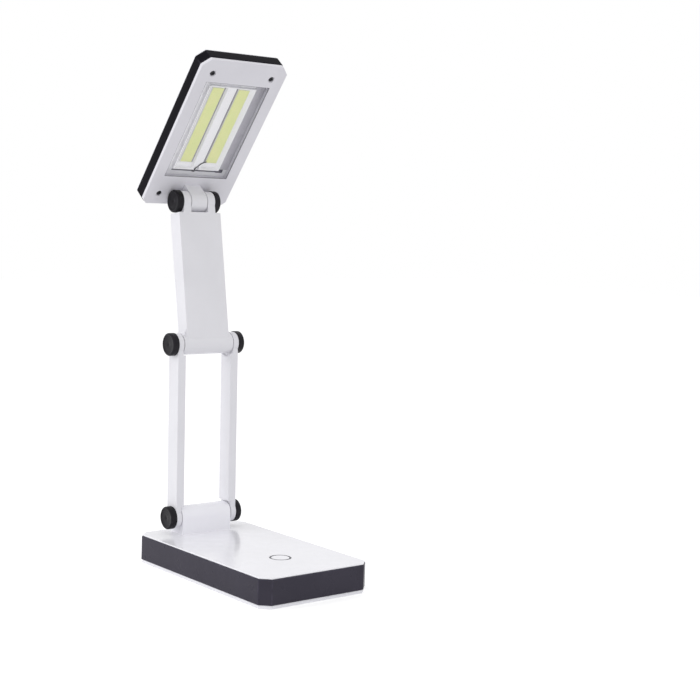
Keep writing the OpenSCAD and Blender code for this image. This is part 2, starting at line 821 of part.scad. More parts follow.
module head_back_cover() {
    color(WHITE) in_head() difference() {
        union() {
            hull() {
                head_slab(-head_inset, head_rim_back, head_back - crown);
                head_slab(-head_inset - crown, head_back - crown, head_back);
            }
            difference() {
                head_slab(-head_wall - fit, head_rim_back - lip_h, head_rim_back + eps);
                head_slab(-head_wall - fit - lip_t, head_rim_back - lip_h - eps, head_rim_back + 2 * eps);
            }
            at_head_screws() y_rod(head_boss_r, face_back + fit, head_rim_back + eps);
            // Posts that press the reflector against its skirt
            for (sx = [-1, 1], sz = [-1, 1]) translate([sx * post_x, 0, window_mid + sz * post_run])
                y_rod(post_r, floor_y + floor_t + fit / 2, head_rim_back + eps);
        }
        at_head_screws() y_rod(small_screw_r, face_back, head_rim_back - 0.5);
    }
}

module head_screws() {
    color(STEEL) in_head() at_head_screws()
        translate([0, face_y + head_well, 0]) rotate([-90, 0, 0]) difference() {
            union() {
                translate([0, 0, -head_well + 0.1]) cylinder(r = head_well_r - fit, h = head_well - 0.1);
                cylinder(r = small_screw_r - eps, h = 6.5);
            }
            for (a = [0, 90]) rotate(a)
                translate([-1.1, -0.25, -head_well + 0.1 - eps]) cube([2.2, 0.5, 0.4]);
        }
}

module lens() {
    color("#dfe9ee", 0.4) in_head() {
        window_box(window_w - 2 * fit, window_l - 2 * fit, face_y, face_y + lens_front_t + eps);
        window_box(window_w + 2 * lens_flange, window_l + 2 * lens_flange,
            face_y + lens_front_t, face_y + lens_front_t + lens_back_t);
    }
}

// Cross-section of the two troughs, as distances from the centre line and behind the axis
module trough_outline() {
    h = trough_w / 2;
    polygon([[-h, floor_y], [-h, flank_top], [-h + 0.6, flank_top], [-h + flank_run, floor_y]]);
    polygon([[h, floor_y], [h, flank_top], [h - 0.6, flank_top], [h - flank_run, floor_y]]);
    polygon([[-ridge_half - ridge_run, floor_y], [-ridge_half, ridge_top],
             [ridge_half, ridge_top], [ridge_half + ridge_run, floor_y]]);
}

module reflector() {
    low = trough_mid - trough_l / 2;
    high = trough_mid + trough_l / 2;
    color("#f7f7f7") in_head() difference() {
        union() {
            window_box(skirt_w + 2 * skirt_t, skirt_l + 2 * skirt_t, floor_y, floor_y + floor_t);
            translate([0, 0, low]) linear_extrude(trough_l) trough_outline();
            // Sloped ends of the troughs
            for (e = [0, 1]) translate([0, 0, e == 0 ? low : high]) mirror([0, 0, e])
                rotate([90, 0, 90]) translate([0, 0, -trough_w / 2]) linear_extrude(trough_w)
                    polygon([[floor_y, 0], [flank_top, 0], [flank_top, 0.6], [floor_y, end_run]]);
        }
        // Notch where the leads leave the troughs
        box(-lead_notch, lead_notch, flank_top - 1, floor_y, low - 1, low + end_run + 1);
    }
}

module led_substrates() {
    color("#f2f2ee") in_head() both_sides() translate([strip_offset, 0, 0])
        window_box(strip_w + substrate_margin, strip_l + 2 * substrate_margin,
            floor_y - substrate_t, floor_y, strip_mid);
}

module led_strips() {
    color("#d9df86") in_head() both_sides() translate([strip_offset, 0, 0])
        window_box(strip_w, strip_l, strip_y, floor_y - substrate_t, strip_mid);
}

module led_driver_board() {
    color(GREEN) in_head() {
        window_box(30, 50, driver_y, driver_y + driver_t);
        for (k = [0:3]) translate([-9 + 6 * k, driver_y + driver_t - eps, window_mid - 10])
            cube([2.5, 0.8, 1.6]);
    }
}

module head_wires() {
    for (k = [0, 1]) color(k == 0 ? "#c43a32" : BLACK) in_head() swept_tube([
        [wire_step * (k - 0.5), face_back + wire_r, 0],
        [wire_step * (k - 0.5), face_back + wire_r + 0.6, 3],
        [wire_step * (k - 0.5), driver_y + driver_t + wire_r - 0.6, 7],
        [wire_step * (k - 0.5), driver_y + driver_t + wire_r, 12],
        [wire_step * (k - 0.5), driver_y + driver_t + wire_r, 26]
    ], wire_r - 0.05, [1, 0, 0]);
}

base_bottom_plate();
base_rim();
base_top_cover();
base_feet();
base_screws();
button_ring();
power_button();
switch_plunger();
switch_body();
control_board();
board_components();
board_screws();
charge_socket();
battery_tray();
battery_cells();
battery_springs();
battery_plates();
battery_door();
base_wires();
left_leg();
right_leg();
leg_covers();
lower_arm_caps();
lower_arm_wire();
base_hinge_screw();
base_hinge_nut();
base_hinge_washers();
mid_hinge_screw();
mid_hinge_nut();
mid_hinge_washers();
upper_arm_housing();
upper_arm_cover();
upper_arm_screws();
upper_arm_wire();
head_hinge_caps();
head_hinge_screw();
head_hinge_nut();
head_hinge_washers();
head_face_plate();
head_rim();
head_back_cover();
head_screws();
lens();
reflector();
led_substrates();
led_strips();
led_driver_board();
head_wires();
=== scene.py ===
# %% [markdown]
# # A folding desk lamp
# The lamp stands on a flat battery base. A frame-shaped lower arm, a broad upper arm and a flat
# lamp head fold down over the base like a pocket knife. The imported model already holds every
# piece at its real size and place. This lesson gives each piece its finish, rounds its moulded
# edges, and lights it like a small product on white.

import json
import math

import bmesh
import bpy
from mathutils import Matrix, Vector


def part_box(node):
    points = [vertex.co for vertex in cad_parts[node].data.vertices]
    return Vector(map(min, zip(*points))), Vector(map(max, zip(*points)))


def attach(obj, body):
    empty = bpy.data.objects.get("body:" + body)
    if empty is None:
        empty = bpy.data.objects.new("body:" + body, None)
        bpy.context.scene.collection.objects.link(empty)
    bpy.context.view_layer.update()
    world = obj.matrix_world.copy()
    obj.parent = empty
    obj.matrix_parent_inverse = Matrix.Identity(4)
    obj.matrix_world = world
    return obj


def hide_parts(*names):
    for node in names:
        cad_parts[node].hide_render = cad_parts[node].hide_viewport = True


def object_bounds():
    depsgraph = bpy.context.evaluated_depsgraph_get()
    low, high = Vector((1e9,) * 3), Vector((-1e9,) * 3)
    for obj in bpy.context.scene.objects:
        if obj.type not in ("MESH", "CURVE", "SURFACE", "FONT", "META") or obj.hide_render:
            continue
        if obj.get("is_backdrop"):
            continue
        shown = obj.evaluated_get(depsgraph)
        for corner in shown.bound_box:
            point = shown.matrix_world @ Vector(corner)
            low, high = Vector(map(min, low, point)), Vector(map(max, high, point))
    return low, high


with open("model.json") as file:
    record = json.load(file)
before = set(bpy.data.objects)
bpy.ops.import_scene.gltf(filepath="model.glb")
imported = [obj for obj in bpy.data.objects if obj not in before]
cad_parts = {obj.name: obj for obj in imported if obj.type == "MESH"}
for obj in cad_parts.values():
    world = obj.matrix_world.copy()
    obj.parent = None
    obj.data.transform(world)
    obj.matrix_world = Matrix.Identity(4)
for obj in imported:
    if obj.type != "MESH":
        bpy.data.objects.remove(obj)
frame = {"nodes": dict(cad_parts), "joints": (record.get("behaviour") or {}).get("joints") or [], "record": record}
cad_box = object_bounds()
MM = 0.001

# %% [markdown]
# ## Where the joints are
# The hinge axes are the only places that everything else is measured from, so they are read from
# the model's joints. Each arm gets a matrix whose origin is its lower axis, with Z along the arm
# and -Y at its front. A detail can then be placed in the arm's own terms, whichever way the arm
# leans.

# %% Hinge axes and the arms' own frames
HEAD_LEAN = math.radians(38.9)
FORWARD, BACKWARD, DOWNWARD = Vector((0, -1, 0)), Vector((0, 1, 0)), Vector((0, 0, -1))


def joint_place(name):
    """Where a joint's axis crosses the lamp's middle plane."""
    return Vector(next(j["pos_m"] for j in frame["joints"] if j["name"] == name))


def lean_between(low, high):
    """The forward lean of an arm that runs between two axes."""
    along = high - low
    return math.atan2(-along.y, along.z)


def leaning_frame(origin, lean):
    return Matrix.Translation(origin) @ Matrix.Rotation(lean, 4, "X")


base_axis = joint_place("base_hinge")
mid_axis = joint_place("mid_hinge")
head_axis = joint_place("head_fold")
lower_lean = lean_between(base_axis, mid_axis)
upper_lean = lean_between(mid_axis, head_axis)
in_lower = leaning_frame(base_axis, lower_lean)
in_upper = leaning_frame(mid_axis, upper_lean)
in_head = leaning_frame(head_axis, HEAD_LEAN)
print("leans:", [round(math.degrees(a), 1) for a in (lower_lean, upper_lean, HEAD_LEAN)])

# %% [markdown]
# ## The camera
# A photograph fixes the camera if some points of known size can be found in it. Here those were
# corners of the base and of the window, three screws in the head, the switch and the hinge knobs.
# The fit gave the place, three angles and the focal length below, so the lamp lands where it stands
# in the picture.

# %% Camera from the fit
FRAME_PX = 700
SENSOR = 36.0
NEAREST, FARTHEST = 0.01, 20
FOCAL_PX = 1441.0
CAMERA_PLACE = Vector((-0.4763, -0.6679, 0.2101))
CAMERA_YAW, CAMERA_PITCH, CAMERA_ROLL = 0.6848, 0.0935, 0.034


def camera_axes(yaw, pitch, roll):
    """A camera's right, up and backward directions from its three angles."""
    level = Vector((math.cos(yaw), -math.sin(yaw), 0))
    flat_ahead = Vector((math.sin(yaw), math.cos(yaw), 0))
    ahead = math.cos(pitch) * flat_ahead + math.sin(pitch) * DOWNWARD
    top = level.cross(ahead)
    right = math.cos(roll) * level + math.sin(roll) * top
    return right, -math.sin(roll) * level + math.cos(roll) * top, -ahead


def add_camera():
    data = bpy.data.cameras.new("camera")
    data.sensor_width = SENSOR
    data.lens = FOCAL_PX * SENSOR / FRAME_PX
    data.clip_start, data.clip_end = NEAREST, FARTHEST
    camera = bpy.data.objects.new("camera", data)
    axes = camera_axes(CAMERA_YAW, CAMERA_PITCH, CAMERA_ROLL)
    turn = Matrix(axes).transposed().to_4x4()
    camera.matrix_world = Matrix.Translation(CAMERA_PLACE) @ turn
    bpy.context.scene.collection.objects.link(camera)
    bpy.context.scene.camera = camera
    return camera


camera = add_camera()
print("lens:", round(camera.data.lens, 1), "mm")

# %% [markdown]
# ## Node helpers
# Every finish below is built from the same few steps: noise on the piece's own coordinates, a
# remap, a colour mix, and a bump. Short helpers keep each material readable. Values that are the
# same all over a surface are set on the shader itself, because only patterns need nodes.

# %% Shader helpers
def new_finish(name):
    """A fresh material with its tree, its shader and the piece's own coordinates."""
    material = bpy.data.materials.new(name)
    material.use_nodes = True
    tree = material.node_tree
    place = tree.nodes.new("ShaderNodeTexCoord")
    return material, tree, tree.nodes["Principled BSDF"], place.outputs["Object"]


def feed(tree, kind, links, **settings):
    """Adds a node, sets its properties, and fills its inputs with values or sockets."""
    node = tree.nodes.new(kind)
    for key, value in settings.items():
        setattr(node, key, value)
    for key, value in links.items():
        if isinstance(value, bpy.types.NodeSocket):
            tree.links.new(value, node.inputs[key])
        else:
            node.inputs[key].default_value = value
    return node


def turned_coords(tree, coords, matrix, scale):
    """The coordinates in an arm's own frame, stretched by scale."""
    turn = matrix.inverted()
    mapped = feed(tree, "ShaderNodeMapping", {"Vector": coords, "Rotation": turn.to_euler(),
                                              "Location": turn.to_translation()})
    return stretched(tree, mapped.outputs[0], scale)


def stretched(tree, coords, scale):
    factors = {0: coords, 1: scale}
    return feed(tree, "ShaderNodeVectorMath", factors, operation="MULTIPLY").outputs[0]


def product(tree, one, other):
    return feed(tree, "ShaderNodeMath", {0: one, 1: other}, operation="MULTIPLY").outputs[0]


def speckle(tree, coords, per_metre, detail=2.0):
    """Soft noise, with about so many blobs in a metre."""
    settings = {"Vector": coords, "Scale": per_metre, "Detail": detail}
    return feed(tree, "ShaderNodeTexNoise", settings).outputs["Fac"]


def remap(tree, value, low, high, start=0.3, end=0.7):
    settings = {"Value": value, "From Min": start, "From Max": end, "To Min": low, "To Max": high}
    return feed(tree, "ShaderNodeMapRange", settings).outputs["Result"]


def tint(tree, factor, one, other):
    """A colour between two, by factor. Each is a colour or a socket."""
    node = feed(tree, "ShaderNodeMix", {"Factor": factor}, data_type="RGBA")
    for number, value in ((6, one), (7, other)):
        if isinstance(value, bpy.types.NodeSocket):
            tree.links.new(value, node.inputs[number])
        else:
            node.inputs[number].default_value = (*value, 1)
    return node.outputs[2]


def relief(tree, shader, height, depth, strength=1.0):
    """Small height differences of about depth metres, seen in the shading."""
    node = feed(tree, "ShaderNodeBump", {"Height": height, "Distance": depth, "Strength": strength})
    tree.links.new(node.outputs["Normal"], shader.inputs["Normal"])


def shade(colour, factor):
    return tuple(min(1.0, c * factor) for c in colour)


# %% [markdown]
# ## Moulded plastic
# Nearly all of the lamp is injection-moulded plastic. Up close it isn't one even colour: the
# resin has faint clouds, the polish varies from patch to patch, the mould leaves a very fine
# grain, and the rounded edges are rubbed a little. Those four things are four small groups of
# nodes, and the edges are known from an attribute that the edge-rounding step writes.

# %% The moulded plastics
EDGE_MARK = "rubbed_edge"
CLOUDS_PER_M, RUBS_PER_M, PATCHES_PER_M, GRAINS_PER_M = 45, 260, 130, 5200
EDGE_SHARE, CLOUD_LIFT = 0.5, 0.4
COAT_ROUGHNESS = 0.08


def moulded_plastic(name, colour, roughness, cloud=0.03, patchiness=0.06, grain=0.000012,
                    edge=1.05, coat=0.0, level=0.5):
    """Clouded plastic. Its rubbed edges are as many times lighter as edge says."""
    material, tree, shader, coords = new_finish(name)
    clouds = remap(tree, speckle(tree, coords, CLOUDS_PER_M, 3), 0, 1)
    body = tint(tree, clouds, shade(colour, 1 - cloud), shade(colour, 1 + cloud * CLOUD_LIFT))
    rubbed = feed(tree, "ShaderNodeAttribute", {}, attribute_name=EDGE_MARK).outputs["Fac"]
    broken = product(tree, rubbed, remap(tree, speckle(tree, coords, RUBS_PER_M), 0, EDGE_SHARE))
    tree.links.new(tint(tree, broken, body, shade(colour, edge)), shader.inputs["Base Color"])
    polish = speckle(tree, coords, PATCHES_PER_M, 4)
    polish = remap(tree, polish, roughness - patchiness, roughness + patchiness)
    tree.links.new(polish, shader.inputs["Roughness"])
    relief(tree, shader, speckle(tree, coords, GRAINS_PER_M, 1), grain)
    shader.inputs["Coat Weight"].default_value = coat
    shader.inputs["Coat Roughness"].default_value = COAT_ROUGHNESS
    shader.inputs["Specular IOR Level"].default_value = level
    return material


gloss_white = moulded_plastic("gloss white plastic", (0.9, 0.895, 0.945), 0.2,
                              grain=0.000006, coat=0.25)
satin_white = moulded_plastic("satin white plastic", (0.775, 0.77, 0.81), 0.36)
# A darker copy of the satin white: painted shade for the head's downward-looking face plate.
shaded_face_white = moulded_plastic("face plastic with painted shade", (0.735, 0.725, 0.775), 0.34)
base_charcoal = moulded_plastic("base rim plastic", (0.043, 0.039, 0.056), 0.3,
                                cloud=0.12, edge=2.0, level=0.12)
# Blacker than the base rim: partly the head rim's own darker plastic, partly painted shade for the white it
# doesn't reflect.
head_charcoal = moulded_plastic("head rim plastic", (0.0095, 0.009, 0.012), 0.3,
                                cloud=0.15, edge=4.5, level=0.02)
knob_black = moulded_plastic("black knob plastic", (0.014, 0.013, 0.0165), 0.38,
                             cloud=0.3, patchiness=0.12, grain=0.00004, edge=3.0, level=0.14)
part_black = moulded_plastic("black inner plastic", (0.02, 0.02, 0.021), 0.5, cloud=0.2, edge=2.0)
ring_grey = moulded_plastic("grey ring plastic", (0.07, 0.07, 0.082), 0.35, cloud=0.08, level=0.25)
foot_rubber = moulded_plastic("foot rubber", (0.022, 0.022, 0.023), 0.78,
                              cloud=0.25, grain=0.00006, level=0.25)
washer_nylon = moulded_plastic("washer nylon", (0.62, 0.58, 0.46), 0.45)
wire_black = moulded_plastic("wire jacket", (0.02, 0.02, 0.022), 0.4, grain=0.00002)
reflector_white = moulded_plastic("reflector white", (0.95, 0.945, 0.975), 0.22,
                                  coat=0.6, level=0.8)
# The three greys below are painted shade and shadow in the head: chamber floor, slit and pocket, and the floor
# beside the strips.
chamber_painted_shade = moulded_plastic("chamber painted shade", (0.56, 0.55, 0.6), 0.3, cloud=0.08)
slit_and_pocket_shadow = moulded_plastic("slit and pocket painted shadow", (0.085, 0.08, 0.11), 0.45, cloud=0.2)
strip_side_shade = moulded_plastic("painted shade beside strips", (0.33, 0.32, 0.36), 0.4, cloud=0.15)
print("plastics:", len(bpy.data.materials))

# %% [markdown]
# ## Metal, board and cells
# Screws and springs are drawn or turned metal, so their roughness runs in fine streaks, not in
# clouds. The circuit board is green lacquer over copper tracks, which show as slightly paler,
# raised bands. The cells wear a printed sleeve, left plain here, with the faint wrinkles of
# shrunk film.

# %% Metals, board lacquer and cell sleeve
STREAKS_PER_M, STAINS_PER_M = 2600, 300
TRACKS_PER_M, TRACK_WIDTH, LACQUER_PER_M = 160.0, 0.06, 220
WRINKLES_PER_M = 420
STREAK_DEPTH, TRACK_DEPTH, WRINKLE_DEPTH = 0.000008, 0.00003, 0.00006
STAIN_SHADES, FILM_SHADES = (0.88, 1.05), (0.8, 1.1)
SMOOTHER, DULLER = 0.08, 0.12


def drawn_metal(name, colour, roughness, along=(1, 1, 0.06)):
    """Metal with streaks that are stretched along the axes where along is small."""
    material, tree, shader, coords = new_finish(name)
    streaks = speckle(tree, stretched(tree, coords, along), STREAKS_PER_M, 3)
    stains = remap(tree, speckle(tree, coords, STAINS_PER_M), 0, 1)
    cloudy = tint(tree, stains, *(shade(colour, factor) for factor in STAIN_SHADES))
    tree.links.new(cloudy, shader.inputs["Base Color"])
    dull = remap(tree, streaks, roughness - SMOOTHER, roughness + DULLER)
    tree.links.new(dull, shader.inputs["Roughness"])
    relief(tree, shader, streaks, STREAK_DEPTH)
    shader.inputs["Metallic"].default_value = 1.0
    return material


def board_lacquer(name):
    material, tree, shader, coords = new_finish(name)
    black, white = (0, 0, 0, 1), (1, 1, 1, 1)
    tracks = feed(tree, "ShaderNodeTexBrick",
                  {"Vector": coords, "Scale": TRACKS_PER_M, "Mortar Size": TRACK_WIDTH,
                   "Color1": black, "Color2": black, "Mortar": white}).outputs["Fac"]
    lacquer = tint(tree, tracks, (0.012, 0.11, 0.045), (0.03, 0.2, 0.085))
    tree.links.new(lacquer, shader.inputs["Base Color"])
    dull = remap(tree, speckle(tree, coords, LACQUER_PER_M, 3), 0.22, 0.4)
    tree.links.new(dull, shader.inputs["Roughness"])
    relief(tree, shader, tracks, TRACK_DEPTH)
    return material


def shrunk_sleeve(name, colour):
    material, tree, shader, coords = new_finish(name)
    wrinkles = speckle(tree, coords, WRINKLES_PER_M, 4)
    film = tint(tree, remap(tree, wrinkles, 0, 1),
                *(shade(colour, factor) for factor in FILM_SHADES))
    tree.links.new(film, shader.inputs["Base Color"])
    tree.links.new(remap(tree, wrinkles, 0.18, 0.34), shader.inputs["Roughness"])
    relief(tree, shader, wrinkles, WRINKLE_DEPTH, 0.6)
    return material


screw_steel = drawn_metal("screw steel", (0.55, 0.555, 0.57), 0.3)
# Darkened metal: painted shade for screws sunk in their wells.
screw_painted_shade = drawn_metal("darkened screw with painted shade", (0.045, 0.045, 0.05), 0.36)
board_green = board_lacquer("board lacquer")
cell_sleeve = shrunk_sleeve("cell sleeve", (0.04, 0.13, 0.36))
print("metals and lacquers made")

# %% [markdown]
# ## Window and light strips
# The window is a clear acrylic pane. Its broad faces are nearly invisible apart from their
# reflection, while its edge faces are a half-clear grey, a painted shade for the way an acrylic
# edge darkens. Each light strip is a row of tiny blue chips under a yellow gel, which shows as an
# even yellow with faint warmer spots, one over each chip.

# %% Clear acrylic, its edge, and the yellow gel
CHIP_WIDTH, CHIP_DEPTH, CHIP_PITCH = 1.9 * MM, 8 * MM, 2.05 * MM
HAZE_PER_M, DRIFT_PER_M = 60, 90
GEL_RELIEF = 0.00004
SPOT_SHARE = 0.3


def clear_acrylic(name, colour, opacity, roughness):
    material, tree, shader, coords = new_finish(name)
    haze = speckle(tree, coords, HAZE_PER_M, 3)
    tree.links.new(tint(tree, haze, shade(colour, 0.97), colour), shader.inputs["Base Color"])
    tree.links.new(remap(tree, haze, roughness, roughness + 0.05), shader.inputs["Roughness"])
    shader.inputs["Alpha"].default_value = opacity
    return material


def yellow_gel(name):
    material, tree, shader, coords = new_finish(name)
    per_chip = (1 / CHIP_WIDTH, 1 / CHIP_DEPTH, 1 / CHIP_PITCH)
    chips = turned_coords(tree, coords, in_head, per_chip)
    spots = feed(tree, "ShaderNodeTexVoronoi", {"Vector": chips, "Scale": 1.0, "Randomness": 0.25})
    over_chip = remap(tree, spots.outputs["Distance"], 1, 0, 0.1, 0.45)
    drift = remap(tree, speckle(tree, coords, DRIFT_PER_M, 2), 0, 1)
    gel = tint(tree, drift, (0.8, 0.865, 0.38), (0.86, 0.88, 0.43))
    spotted = tint(tree, product(tree, over_chip, SPOT_SHARE), gel, (0.95, 0.86, 0.33))
    tree.links.new(spotted, shader.inputs["Base Color"])
    tree.links.new(remap(tree, drift, 0.42, 0.6, 0, 1), shader.inputs["Roughness"])
    relief(tree, shader, over_chip, GEL_RELIEF)
    return material


window_clear = clear_acrylic("clear acrylic", (0.93, 0.94, 0.97), 0.03, 0.04)
# The edge's grey is a painted shade for how a clear acrylic edge darkens.
pane_edge_shade = clear_acrylic("acrylic edge painted shade", (0.3, 0.3, 0.34), 0.55, 0.12)
strip_gel = yellow_gel("yellow gel")
strip_white = moulded_plastic("strip lacquer", (0.8, 0.8, 0.78), 0.4)
# Darkened tin: painted shade of the slit that the drop sits in.
solder_painted_shade = drawn_metal("solder tin with painted shade", (0.14, 0.14, 0.15), 0.35, (1, 1, 1))
print("window and strips made")

# %% [markdown]
# ## Finishing a moulded piece
# A real moulding has no knife edges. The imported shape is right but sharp, so each visible casing
# is copied, its loose triangles are merged into whole faces, and every sharp edge is rounded by a
# fraction of a millimetre. The rounding only cuts corners off, so the piece keeps its size. The
# new edge faces carry a mark that the plastics read as rubbed edges. Weighted normals keep the
# flat faces flat in the shading.

# %% Copy, merge and round
SHARP = math.radians(35)
FLAT = math.radians(0.5)
MERGE = 2e-6


def merged_copy(node):
    """A mesh of a CAD node with its triangles merged into whole faces."""
    work = bmesh.new()
    work.from_mesh(frame["nodes"][node].data)
    bmesh.ops.remove_doubles(work, verts=work.verts, dist=MERGE)
    bmesh.ops.dissolve_limit(work, angle_limit=FLAT, verts=work.verts, edges=work.edges)
    return work


def round_edges(work, radius, segments=2):
    """Rounds every sharp edge and marks the new faces."""
    mark = work.faces.layers.float.new(EDGE_MARK)
    sharp = [e for e in work.edges if e.is_manifold and e.calc_face_angle(0) > SHARP]
    made = bmesh.ops.bevel(work, geom=sharp, offset=radius, offset_type="OFFSET", segments=segments,
                           profile=0.5, affect="EDGES", clamp_overlap=False, miter_outer="SHARP")
    for face in made["faces"]:
        face[mark] = 1.0


def body_of_node(node):
    groups = frame["record"]["behaviour"]["bodies"]
    return next(body for body, nodes in groups.items() if node in nodes)


def finish_piece(work, name, node, materials):
    """Turns worked mesh data into a shown piece that stands for a CAD node."""
    mesh = bpy.data.meshes.new(name)
    work.to_mesh(mesh)
    work.free()
    for material in materials:
        mesh.materials.append(material)
    mesh.shade_smooth()
    mesh.set_sharp_from_angle(angle=SHARP)
    piece = bpy.data.objects.new(name, mesh)
    bpy.context.scene.collection.objects.link(piece)
    piece.modifiers.new("flat faces", "WEIGHTED_NORMAL").keep_sharp = True
    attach(piece, body_of_node(node))
    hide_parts(node)
    return piece


def rounded_piece(node, radius, *materials, segments=2):
    work = merged_copy(node)
    round_edges(work, radius, segments)
    return finish_piece(work, node + "_finished", node, materials)


# %% [markdown]
# ## The casings
# The radii differ by what each piece is. The dark rims and the base's cover were moulded with a
# soft edge that catches the light, while the inner parts are crisp. A rounding larger than about
# a third of a wall would eat the wall, so none goes over 0.5 mm.

# %% Round the casings
CASINGS = {
    "base_bottom_plate": (0.25, gloss_white), "base_rim": (0.45, base_charcoal),
    "base_top_cover": (0.35, gloss_white), "battery_door": (0.15, gloss_white),
    "power_button": (0.35, gloss_white), "button_ring": (0.12, ring_grey),
    "base_feet": (0.3, foot_rubber), "left_leg": (0.3, satin_white),
    "right_leg": (0.3, satin_white), "leg_covers": (0.2, satin_white),
    "upper_arm_housing": (0.25, satin_white), "upper_arm_cover": (0.2, satin_white),
    "head_rim": (0.45, head_charcoal), "head_back_cover": (0.35, gloss_white),
    "led_substrates": (0.15, strip_white), "charge_socket": (0.08, screw_steel),
    "battery_tray": (0.2, part_black), "switch_body": (0.2, screw_steel),
    "control_board": (0.1, board_green),
}
casings = {node: rounded_piece(node, size * MM, material)
           for node, (size, material) in CASINGS.items()}
casing_faces = sum(len(piece.data.polygons) for piece in casings.values())
print("casings rounded:", len(casings), "faces:", casing_faces)

# %% [markdown]
# ## Two pieces with two finishes
# The face plate and its hinge lug are one moulding. The plate takes a darker copy of the arms'
# white, which paints the shade on its downward-looking face, and the lug keeps the arms' white.
# The cells wear a sleeve that stops short of their ends, where bare steel makes the contact. In
# both, each face of the mesh takes its finish by where it lies, so the border is a clean edge.

# %% Face plate and cells
LUG_REACH = 7.6 * MM
BARE_END = 0.8 * MM
PLATE_EDGE, CELL_EDGE = 0.25 * MM, 0.2 * MM


def zoned_piece(node, radius, materials, zone_of):
    """A rounded piece whose faces take one of several finishes by the place of their middle."""
    work = merged_copy(node)
    round_edges(work, radius)
    for face in work.faces:
        face.material_index = zone_of(face.calc_center_median())
    return finish_piece(work, node + "_finished", node, materials)


def on_lug(place):
    return int((out_of_head @ place).y < LUG_REACH)


def on_cell_end(place):
    return int(min(place.y - cells_low.y, cells_high.y - place.y) < BARE_END)


out_of_head = in_head.inverted()
cells_low, cells_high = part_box("battery_cells")
face_plate = zoned_piece("head_face_plate", PLATE_EDGE, (shaded_face_white, satin_white), on_lug)
cells = zoned_piece("battery_cells", CELL_EDGE, (cell_sleeve, screw_steel), on_cell_end)
print("zoned pieces:", face_plate.name, cells.name)

# %% [markdown]
# ## The window
# The reflector is one white moulding with two troughs. Around the troughs its floor lies in the
# shade of the chamber, so the floor is cut along the troughs' outline and those faces get a grey
# that paints that shade. The slit that the leads come through and the pocket at its end are cut
# out in the same way and painted dark, as painted shadow, and the narrow floor beside the strips
# gets a painted shade line. The pane's rim is told apart by which way its faces look.

# %% Reflector, pane and strips
TROUGH_HALF = 16.3 * MM
FLOOR_DEPTH, FLOOR_PLAY = 12.9 * MM, 0.2 * MM
STRIP_SIDE_SHADE_REACH = 8.9 * MM
SLIT_NEAR, SLIT_FAR = 13.3 * MM, 14.3 * MM
POCKET_FROM, POCKET_TO = 15.6 * MM, 20.6 * MM
POCKET_NEAR, POCKET_FAR = 12.9 * MM, 15.5 * MM
STRIP_NEAR, STRIP_FAR = 20 * MM, 74.8 * MM
REFLECTOR_EDGE, PANE_EDGE, STRIP_EDGE = 0.15 * MM, 0.2 * MM, 0.16 * MM
FACING = 0.9


def reflector_finish(place):
    """Finish of a forward-looking spot: 0 white, 1 painted chamber shade, 2 painted slit and pocket shadow, 3
    painted strip-side shade.
    """
    if abs(place.y - FLOOR_DEPTH) > FLOOR_PLAY:
        return 0
    if POCKET_FROM < place.x < POCKET_TO and POCKET_NEAR < place.z < POCKET_FAR:
        return 2
    if SLIT_NEAR < place.z < SLIT_FAR and abs(place.x) < POCKET_FROM:
        return 2
    if place.x > TROUGH_HALF and place.z > POCKET_FAR:
        return 1
    return 3 if STRIP_NEAR < place.z < STRIP_FAR and abs(place.x) < STRIP_SIDE_SHADE_REACH else 0


def shaded_reflector():
    work = merged_copy("reflector")
    round_edges(work, REFLECTOR_EDGE)
    across = in_head.to_3x3() @ Vector((1, 0, 0))
    along = in_head.to_3x3() @ Vector((0, 0, 1))
    sides = (-POCKET_FROM, -STRIP_SIDE_SHADE_REACH, STRIP_SIDE_SHADE_REACH, POCKET_FROM, TROUGH_HALF, POCKET_TO)
    heights = (POCKET_NEAR, SLIT_NEAR, SLIT_FAR, POCKET_FAR, STRIP_NEAR, STRIP_FAR)
    cuts = [(side, across) for side in sides] + [(height, along) for height in heights]
    for offset, normal in cuts:
        bmesh.ops.bisect_plane(work, geom=work.verts[:] + work.edges[:] + work.faces[:],
                               plane_co=head_axis + normal * offset, plane_no=normal)
    for face in work.faces:
        if face.normal.dot(out_of_window) > FACING:
            face.material_index = reflector_finish(out_of_head @ face.calc_center_median())
    finishes = (reflector_white, chamber_painted_shade, slit_and_pocket_shadow, strip_side_shade)
    return finish_piece(work, "reflector_finished", "reflector", finishes)


def edged_pane():
    work = merged_copy("lens")
    round_edges(work, PANE_EDGE)
    for face in work.faces:
        # Faces that don't look out of the window take the edge's painted shade.
        face.material_index = 0 if abs(face.normal.dot(out_of_window)) > FACING else 1
    return finish_piece(work, "lens_finished", "lens", (window_clear, pane_edge_shade))


out_of_window = in_head.to_3x3() @ FORWARD
reflector = shaded_reflector()
pane = edged_pane()
strips = rounded_piece("led_strips", STRIP_EDGE, strip_gel, segments=3)
print("window pieces:", reflector.name, pane.name, strips.name)

# %% [markdown]
# ## Plain finishes for what the casings hide
# Springs, wires, nuts and boards are right as they are, and only need their finish. A node keeps
# its mesh, and the material goes into its own slots.

# %% Materials on the carried-over nodes
HIDDEN_FINISHES = {
    screw_steel: ["board_screws", "battery_springs", "battery_plates", "base_hinge_screw",
                  "base_hinge_nut", "mid_hinge_screw", "mid_hinge_nut", "head_hinge_screw",
                  "head_hinge_nut"],
    washer_nylon: ["base_hinge_washers", "mid_hinge_washers", "head_hinge_washers"],
    part_black: ["switch_plunger", "board_components"],
    wire_black: ["base_wires", "lower_arm_wire", "upper_arm_wire", "head_wires"],
    board_green: ["led_driver_board"],
}


def give_finish(node, material):
    mesh = frame["nodes"][node].data
    if not mesh.materials:
        mesh.materials.append(material)
    for number in range(len(mesh.materials)):
        mesh.materials[number] = material


